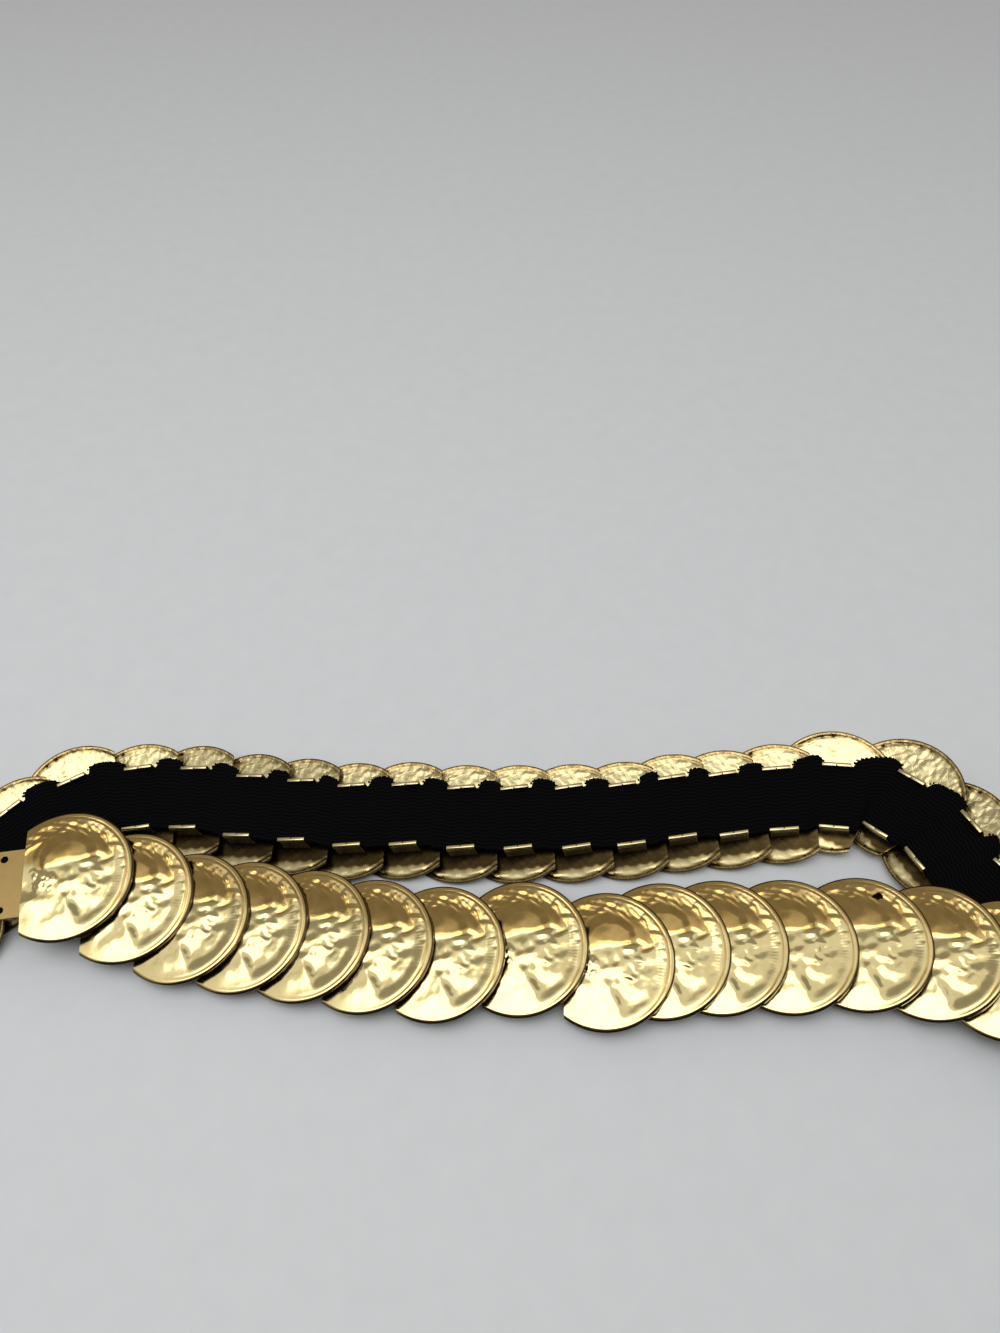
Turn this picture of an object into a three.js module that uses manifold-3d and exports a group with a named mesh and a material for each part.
// A stretch coin belt laid on a table: stamped gold-tone coins, each held by a
// clip on one black elastic, with a two-hole tab at one end and a hook plate at
// the other. Millimetres, +Z up. The front row runs along +X with its coins face
// up, the belt folds under at the right, and the back row returns face down.
import * as THREE from 'three';
import { mergeVertices } from 'three/addons/utils/BufferGeometryUtils.js';
import Module from 'manifold-3d';

const wasm = await Module();
wasm.setup();
const { Manifold } = wasm;

// ---- coin: a disc with one straight side, pressed from thin sheet ----
const COIN_RADIUS = 25;
const CHORD_REACH = 14.6;
const SHEET = 0.8;
const DOME_RISE = 1.2;
const RIM_STEPS = 18;
const CHORD_STEPS = 4;
const DOME_RINGS = [1, 0.6];

// ---- clip: two hooks under the coin that hold the elastic's edges ----
const CLIP_BACK = -6.9;
const CLIP_FRONT = 4.25;
const CLIP_INSIDE = 13.1;
const CLIP_WALL = 0.8;
const CLIP_DROP = 7.9;
const CLIP_LIP = 2;
const CLIP_LIP_THICK = 0.6;
const CLIP_ROOT = 0.3;

// ---- elastic: one ribbed band through all the clips ----
const ELASTIC_HALF = 12.7;
const ELASTIC_THICK = 1.3;
const ELASTIC_OFFSET = -5.3;
const ELASTIC_LEAD = -13.8;
const LEAD_BLEND = 0.75;
const FOLD_LEAD = 12;
const FOLD_STEPS = 4;
const GRIP_BACK = -7.2;
const GRIP_FRONT = 5.6;
const ELASTIC_LOBE = 2.6;

// ---- end tab with two holes, and the hook plate that fits it ----
const END_HALF_WIDTH = 13.2;
const END_THICK = 0.8;
const END_CORNER = 5;
const TAB_INNER = -9;
const TAB_OUTER = -33;
const TAB_GAP = 0.3;
const TAB_BAND_REACHES = [-25, -15];
const HOLE_REACH = -22.6;
const HOLE_SPREAD = 9.85;
const HOLE_RADIUS = 1.3;
const DRILL_LENGTH = 2.4;
const HOOK_INNER = 10;
const HOOK_OUTER = 34;
const HOOK_BAND_REACHES = [14, 24];
const HOOK_REACH = 31;
const HOOK_RISE = 3;
const HOOK_SIZE = 1.8;

const PRESS = 0.12;
const DEG = Math.PI / 180;

// ---- places of the coins, from the tab end to the hook end ----
// x, y: centre of the coin. lift: height above lying on the table.
// yaw: turn about the vertical. lean: rise of the coin's top edge.
// rise: slope of the belt toward the hook end. tilt: fish-scale angle on the belt.
// swivel, slide: turn of the disc on its clip, and its shift toward the top edge.
const FRONT = 1;
const BACK = -1;
const PLACE_COLUMNS = ['name', 'row', 'x', 'y', 'lift', 'yaw', 'lean', 'rise', 'tilt', 'swivel', 'slide'];
const PLACES = [
  ['front_01', FRONT, -162.0, 175.5, 9.8, 9, 8, -9, 8, 0, 0],
  ['front_02', FRONT, -139.3, 169.7, 3.8, 4, 8, -9, 12, 0, 0],
  ['front_03', FRONT, -117.4, 163.1, 0.9, -2.5, 6, -5, 12, 0, 0],
  ['front_04', FRONT, -95.4, 159.9, 0, 1, 6, -0.5, 9, 0, 0],
  ['front_05', FRONT, -72.0, 156.6, 0, -1.5, 5, 0, 10, 0, 0],
  ['front_06', FRONT, -48.6, 152.6, 0, -1, 5, 0, 10, 0, 0],
  ['front_07', FRONT, -22.8, 149.6, 0, 1, 5.5, 0, 9, 0, 0],
  ['front_08', FRONT, 7.3, 151.6, 0, 2.5, 5.5, 1, 8, 0, 0],
  ['front_09', FRONT, 37.9, 146.4, 0, -3, 8, 0, 10, 0, 0],
  ['front_10', FRONT, 58.4, 150.4, 0, 0.5, 7.5, 0, 10, 0, 0],
  ['front_11', FRONT, 79.4, 151.9, 0, -1.5, 6, 0, 11, 0, 0],
  ['front_12', FRONT, 104.5, 152.2, 0, -1, 6, 0, 11, 0, 0],
  ['front_13', FRONT, 131.2, 153.0, 0, -5, 6, 3, 12, 0, 0],
  ['front_14', FRONT, 155.2, 148.6, 1.8, -12, 8, 9, 12, 0, 0],
  ['front_15', FRONT, 178.0, 139.6, 6.1, -20, 14, 10, 12, 0, 0],
  ['front_16', FRONT, 200.0, 132.0, 9.4, -19, 13, 9, 12, 0, 0],
  ['fold_17', BACK, 207.5, 140.0, 0, -41, 13, 4, 12, 0, 0],
  ['fold_18', BACK, 192.2, 154.8, 0.2, -48, 17.5, 6, 11, 0, 0],
  ['fold_19', BACK, 179.8, 172.5, 0.7, -56.5, 23, 6.5, 11, 0, 0],
  ['fold_20', BACK, 171.5, 192.2, 2.7, -65, 27.5, 4, 11, 0, 2],
  ['fold_21', BACK, 156.4, 208.9, 2.4, -42, 28, -4, 10, 22, 4],
  ['fold_22', BACK, 133.8, 213.9, 1.1, -9, 21.5, -7, 9, 20, 3],
  ['back_23', BACK, 111.9, 213.4, 0, 0.5, 14.5, -5, 9.5, 2, 0],
  ['back_24', BACK, 90.9, 211.4, 0, 4.5, 11.5, -3.5, 10, 0, 0],
  ['back_25', BACK, 70.5, 210.2, 0, 5, 10, -1.5, 11, 0, 0],
  ['back_26', BACK, 50.2, 207.2, 0, 4.5, 9, 0, 11, 0, 0],
  ['back_27', BACK, 28.6, 206.0, 0, 5, 9, 0, 11, 0, 0],
  ['back_28', BACK, 6.3, 205.6, 0, 3, 9, 0, 11, 0, 0],
  ['back_29', BACK, -15.5, 205.7, 0, 0.5, 9, 0, 11, 0, 0],
  ['back_30', BACK, -38.0, 207.2, 0, 0.5, 9, 0, 11, 0, 0],
  ['back_31', BACK, -59.9, 206.8, 0, 0, 9, 0, 10.5, 0, 0],
  ['back_32', BACK, -81.0, 209.0, 0, -3, 9, 0, 11, 0, 0],
  ['back_33', BACK, -102.2, 211.0, 0, -5, 10, 0, 11, 0, 0],
  ['back_34', BACK, -125.2, 215.0, 0, -2, 11, 2, 11, 0, 0],
  ['back_35', BACK, -146.3, 215.0, 0, 7, 14, 5, 11, 2, 0],
  ['bend_36', BACK, -167.0, 209.5, 0, 28, 19, 2, 11, 14, 2.5],
  ['bend_37', BACK, -184.8, 197.0, 0, 44, 16, -1, 12, 12, 0],
  ['bend_38', BACK, -200.3, 181.0, 0, 53, 12, -1, 11, 0, 0],
  ['bend_39', BACK, -209.8, 161.0, 0, 61, 10, 0, 12, 0, 0],
].map((row) => Object.fromEntries(row.map((value, k) => [PLACE_COLUMNS[k], value])));

// ---- materials ----
function gold(name) {
  const material = new THREE.MeshStandardMaterial({ color: 0xb9a062, roughness: 0.32, metalness: 1 });
  material.name = name;
  return material;
}

function blackElastic() {
  const material = new THREE.MeshStandardMaterial({ color: 0x101012, roughness: 0.95, metalness: 0 });
  material.name = 'black_elastic';
  return material;
}

// ---- solids ----
function toSolid(geometry) {
  const bare = geometry.clone();
  bare.deleteAttribute('normal');
  bare.deleteAttribute('uv');
  const merged = mergeVertices(bare, 1e-4);
  const mesh = new wasm.Mesh({
    numProp: 3,
    vertProperties: new Float32Array(merged.attributes.position.array),
    triVerts: new Uint32Array(merged.index.array),
  });
  return new Manifold(mesh);
}

function toGeometry(solid) {
  const mesh = solid.getMesh();
  const geometry = new THREE.BufferGeometry();
  geometry.setAttribute('position', new THREE.BufferAttribute(new Float32Array(mesh.vertProperties), 3));
  geometry.setIndex(new THREE.BufferAttribute(new Uint32Array(mesh.triVerts), 1));
  geometry.computeVertexNormals();
  return geometry;
}

function coinOutline() {
  const corner = Math.PI - Math.acos(CHORD_REACH / COIN_RADIUS);
  const outline = [];
  for (let k = 0; k <= RIM_STEPS; k += 1) {
    const angle = -corner + (2 * corner * k) / RIM_STEPS;
    outline.push(new THREE.Vector2(COIN_RADIUS * Math.cos(angle), COIN_RADIUS * Math.sin(angle)));
  }
  const last = outline[RIM_STEPS];
  const first = outline[0];
  for (let k = 1; k < CHORD_STEPS; k += 1) {
    outline.push(last.clone().lerp(first, k / CHORD_STEPS));
  }
  return outline;
}

function domeHeight(share) {
  return DOME_RISE * (1 - share * share);
}

// The disc: rings of the outline, shrunk to the centre, for the face and the back.
function discSolid() {
  const outline = coinOutline();
  const count = outline.length;
  const points = [];
  for (const drop of [0, SHEET]) {
    for (const share of DOME_RINGS) {
      for (const p of outline) points.push(p.x * share, p.y * share, domeHeight(share) - drop);
    }
    points.push(0, 0, DOME_RISE - drop);
  }
  const faces = [];
  const side = DOME_RINGS.length * count + 1;
  const quad = (a, b, c, d) => faces.push(a, b, c, a, c, d);
  for (let k = 0; k < count; k += 1) {
    const next = (k + 1) % count;
    for (let ring = 1; ring < DOME_RINGS.length; ring += 1) {
      const outer = (ring - 1) * count;
      const inner = ring * count;
      quad(outer + k, outer + next, inner + next, inner + k);
      quad(side + outer + next, side + outer + k, side + inner + k, side + inner + next);
    }
    const lastRing = (DOME_RINGS.length - 1) * count;
    faces.push(lastRing + k, lastRing + next, side - 1);
    faces.push(side + lastRing + next, side + lastRing + k, 2 * side - 1);
    quad(side + k, side + next, next, k);
  }
  const geometry = new THREE.BufferGeometry();
  geometry.setAttribute('position', new THREE.Float32BufferAttribute(points, 3));
  geometry.setIndex(faces);
  return toSolid(geometry);
}

// One hook of the clip: a wall down past the elastic's edge and a lip turned in.
function hookSolid(side) {
  const outside = CLIP_INSIDE + CLIP_WALL;
  const profile = new THREE.Shape([
    new THREE.Vector2(CLIP_INSIDE, CLIP_ROOT),
    new THREE.Vector2(outside, CLIP_ROOT),
    new THREE.Vector2(outside, -CLIP_DROP),
    new THREE.Vector2(CLIP_INSIDE - CLIP_LIP, -CLIP_DROP),
    new THREE.Vector2(CLIP_INSIDE - CLIP_LIP, CLIP_LIP_THICK - CLIP_DROP),
    new THREE.Vector2(CLIP_INSIDE, CLIP_LIP_THICK - CLIP_DROP),
  ]);
  const bar = new THREE.ExtrudeGeometry(profile, { depth: CLIP_FRONT - CLIP_BACK, bevelEnabled: false });
  // The profile's x is the coin's y and its y is the coin's z.
  const toCoin = new THREE.Matrix4().makeBasis(
    new THREE.Vector3(0, 1, 0),
    new THREE.Vector3(0, 0, 1),
    new THREE.Vector3(1, 0, 0),
  );
  bar.applyMatrix4(toCoin);
  bar.translate(CLIP_BACK, 0, 0);
  const solid = toSolid(bar);
  return side > 0 ? solid : solid.mirror([0, 1, 0]);
}

function coinSolid(place) {
  const disc = discSolid().rotate([0, 0, place.swivel]).translate([0, place.slide, 0]);
  return disc.add(hookSolid(1)).add(hookSolid(-1));
}

// ---- frames: x along the belt toward the hook end, y to the coin's top edge, z out of its face ----
function beltAxes(place) {
  const turn = new THREE.Matrix4().makeRotationZ(place.yaw * DEG);
  turn.multiply(new THREE.Matrix4().makeRotationX(place.lean * DEG));
  turn.multiply(new THREE.Matrix4().makeRotationY(-place.row * place.rise * DEG));
  const along = new THREE.Vector3().setFromMatrixColumn(turn, 0).multiplyScalar(place.row);
  const up = new THREE.Vector3().setFromMatrixColumn(turn, 1);
  const out = new THREE.Vector3().setFromMatrixColumn(turn, 2).multiplyScalar(place.row);
  return { along, up, out };
}

function coinRotation(place) {
  const { along, up, out } = beltAxes(place);
  const c = Math.cos(place.tilt * DEG);
  const s = Math.sin(place.tilt * DEG);
  const coinX = along.clone().multiplyScalar(c).addScaledVector(out, s);
  const coinZ = out.clone().multiplyScalar(c).addScaledVector(along, -s);
  return new THREE.Matrix4().makeBasis(coinX, up, coinZ);
}

function lowest(geometry, rotation) {
  const position = geometry.attributes.position;
  const point = new THREE.Vector3();
  let low = Infinity;
  for (let k = 0; k < position.count; k += 1) {
    point.fromBufferAttribute(position, k).applyMatrix4(rotation);
    low = Math.min(low, point.z);
  }
  return low;
}

// Cuts away what would be under the table, which leaves the flats that it rests on.
function trimmed(solid, rotation, height) {
  const up = new THREE.Vector3(0, 0, 1).applyMatrix4(rotation.clone().transpose());
  return solid.trimByPlane([up.x, up.y, up.z], -height);
}

function placed(name, solid, rotation, centre, material) {
  const mesh = new THREE.Mesh(toGeometry(trimmed(solid, rotation, centre.z)), material);
  mesh.name = name;
  mesh.position.copy(centre);
  mesh.quaternion.setFromRotationMatrix(rotation);
  return mesh;
}

// ---- elastic: rectangular sections joined in order ----
function elasticSection(centre, up, out, lobe) {
  const half = ELASTIC_THICK / 2;
  const corner = (y, z) => centre.clone().addScaledVector(up, y).addScaledVector(out, z);
  return [
    corner(-ELASTIC_HALF, -half),
    corner(ELASTIC_HALF + lobe, -half),
    corner(ELASTIC_HALF + lobe, half),
    corner(-ELASTIC_HALF, half),
  ];
}

function bandGeometry(sections) {
  const points = sections.flat().flatMap((p) => [p.x, p.y, p.z]);
  const faces = [];
  const quad = (a, b, c, d) => faces.push(a, b, c, a, c, d);
  const count = sections[0].length;
  for (let s = 0; s + 1 < sections.length; s += 1) {
    for (let k = 0; k < count; k += 1) {
      const next = (k + 1) % count;
      const here = s * count;
      const there = here + count;
      quad(here + k, here + next, there + next, there + k);
    }
  }
  const end = (sections.length - 1) * count;
  quad(3, 2, 1, 0);
  quad(end, end + 1, end + 2, end + 3);
  const geometry = new THREE.BufferGeometry();
  geometry.setAttribute('position', new THREE.Float32BufferAttribute(points, 3));
  geometry.setIndex(faces);
  return geometry;
}

// The loose stretch before a clip: it lies under the next coin's straight side.
function leadStation(before, after) {
  const centre = after.centre.clone().addScaledVector(after.along, ELASTIC_LEAD - GRIP_BACK);
  const up = after.up.clone().lerp(before.up, LEAD_BLEND);
  up.addScaledVector(after.out, -up.dot(after.out)).normalize();
  return { centre, up, out: after.out, lobe: ELASTIC_LOBE };
}

// The bare fold: two straight leads and a half turn between the two layers.
function foldStations(before, after) {
  const top = before.centre.clone().addScaledVector(before.along, FOLD_LEAD);
  const bottom = after.centre.clone().addScaledVector(after.along, -FOLD_LEAD);
  const centre = top.clone().lerp(bottom, 0.5);
  const across = top.clone().sub(bottom);
  const radius = across.length() / 2;
  across.normalize();
  const forward = before.along.clone().sub(after.along);
  forward.addScaledVector(across, -forward.dot(across)).normalize();
  const up = across.clone().cross(forward);
  const stations = [];
  for (let k = 0; k <= FOLD_STEPS; k += 1) {
    const angle = (Math.PI * k) / FOLD_STEPS;
    const out = across.clone().multiplyScalar(Math.cos(angle)).addScaledVector(forward, Math.sin(angle));
    stations.push({ centre: centre.clone().addScaledVector(out, radius), up, out, lobe: 0 });
  }
  return stations;
}

function buildElastic(coins) {
  const stations = [];
  for (const coin of coins) {
    const { along, up, out } = beltAxes(coin.place);
    const middle = coin.centre.clone().addScaledVector(out, ELASTIC_OFFSET);
    const ends = [GRIP_BACK, GRIP_FRONT].map((reach) => (
      { centre: middle.clone().addScaledVector(along, reach), along, up, out, lobe: 0, row: coin.place.row }
    ));
    const previous = stations.at(-1);
    if (previous && previous.row !== coin.place.row) {
      stations.push(...foldStations(previous, ends[0]));
    } else if (previous) {
      stations.push(leadStation(previous, ends[0]));
    }
    stations.push(...ends);
  }
  stations.unshift(...endStations(coins[0], TAB_BAND_REACHES, tabUnderside() - TAB_GAP));
  stations.push(...endStations(coins.at(-1), HOOK_BAND_REACHES, ELASTIC_OFFSET + ELASTIC_THICK / 2));
  const sections = stations.map((s) => elasticSection(s.centre, s.up, s.out, s.lobe));
  const solid = toSolid(bandGeometry(sections)).trimByPlane([0, 0, 1], 0);
  const mesh = new THREE.Mesh(toGeometry(solid), blackElastic());
  mesh.name = 'elastic';
  return mesh;
}

function tabUnderside() {
  return -SHEET - TAB_GAP - END_THICK;
}

// Sections at given reaches along an end coin, with the band's outer side at one height in its frame.
function endStations(coin, reaches, outerHeight) {
  const along = new THREE.Vector3().setFromMatrixColumn(coin.rotation, 0);
  const up = new THREE.Vector3().setFromMatrixColumn(coin.rotation, 1);
  const out = new THREE.Vector3().setFromMatrixColumn(coin.rotation, 2);
  return reaches.map((reach) => {
    const centre = coin.centre.clone().addScaledVector(along, reach);
    centre.addScaledVector(out, outerHeight - ELASTIC_THICK / 2);
    return { centre, up, out, lobe: 0 };
  });
}

// ---- end pieces ----
function plateShape(inner, outer) {
  const way = Math.sign(outer - inner);
  const shape = new THREE.Shape();
  shape.moveTo(inner, -END_HALF_WIDTH);
  shape.lineTo(outer - way * END_CORNER, -END_HALF_WIDTH);
  shape.quadraticCurveTo(outer, -END_HALF_WIDTH, outer, END_CORNER - END_HALF_WIDTH);
  shape.lineTo(outer, END_HALF_WIDTH - END_CORNER);
  shape.quadraticCurveTo(outer, END_HALF_WIDTH, outer - way * END_CORNER, END_HALF_WIDTH);
  shape.lineTo(inner, END_HALF_WIDTH);
  shape.closePath();
  return shape;
}

function plateSolid(inner, outer, bottom) {
  const plate = new THREE.ExtrudeGeometry(plateShape(inner, outer), {
    depth: END_THICK,
    bevelEnabled: false,
    curveSegments: 4,
  });
  plate.translate(0, 0, bottom);
  return toSolid(plate);
}

function tabSolid() {
  let solid = plateSolid(TAB_INNER, TAB_OUTER, tabUnderside());
  for (const side of [-1, 1]) {
    const drill = Manifold.cylinder(DRILL_LENGTH, HOLE_RADIUS, HOLE_RADIUS, 12, true);
    solid = solid.subtract(drill.translate([HOLE_REACH, side * HOLE_SPREAD, tabUnderside()]));
  }
  return solid;
}

function hookPlateSolid(bottom) {
  let solid = plateSolid(HOOK_INNER, HOOK_OUTER, bottom);
  for (const side of [-1, 1]) {
    const finger = Manifold.cube([HOOK_SIZE, HOOK_SIZE, HOOK_RISE + END_THICK / 2], true);
    const height = bottom + END_THICK / 2 - HOOK_RISE / 2;
    solid = solid.add(finger.translate([HOOK_REACH, side * HOLE_SPREAD, height]));
  }
  return solid;
}

// ---- assembly ----
const belt = new THREE.Group();
belt.name = 'coin_belt';

const coins = PLACES.map((place) => {
  const solid = coinSolid(place);
  const rotation = coinRotation(place);
  const height = place.lift - PRESS - lowest(toGeometry(solid), rotation);
  const centre = new THREE.Vector3(place.x, place.y, height);
  return { place, solid, rotation, centre };
});

for (const coin of coins) {
  belt.add(placed(`coin_${coin.place.name}`, coin.solid, coin.rotation, coin.centre, gold('gold_coin')));
}
belt.add(buildElastic(coins));

const first = coins[0];
belt.add(placed('tab_with_holes', tabSolid(), first.rotation, first.centre, gold('gold_tab')));
const last = coins.at(-1);
const plateBottom = ELASTIC_OFFSET + ELASTIC_THICK / 2 + TAB_GAP;
belt.add(placed('hook_plate', hookPlateSolid(plateBottom), last.rotation, last.centre, gold('gold_hook_plate')));

// The origin is the middle of the belt's own box, on the table.
const box = new THREE.Box3().setFromObject(belt, true);
const middle = box.getCenter(new THREE.Vector3());
belt.position.set(-middle.x, -middle.y, -box.min.z);

export default belt;
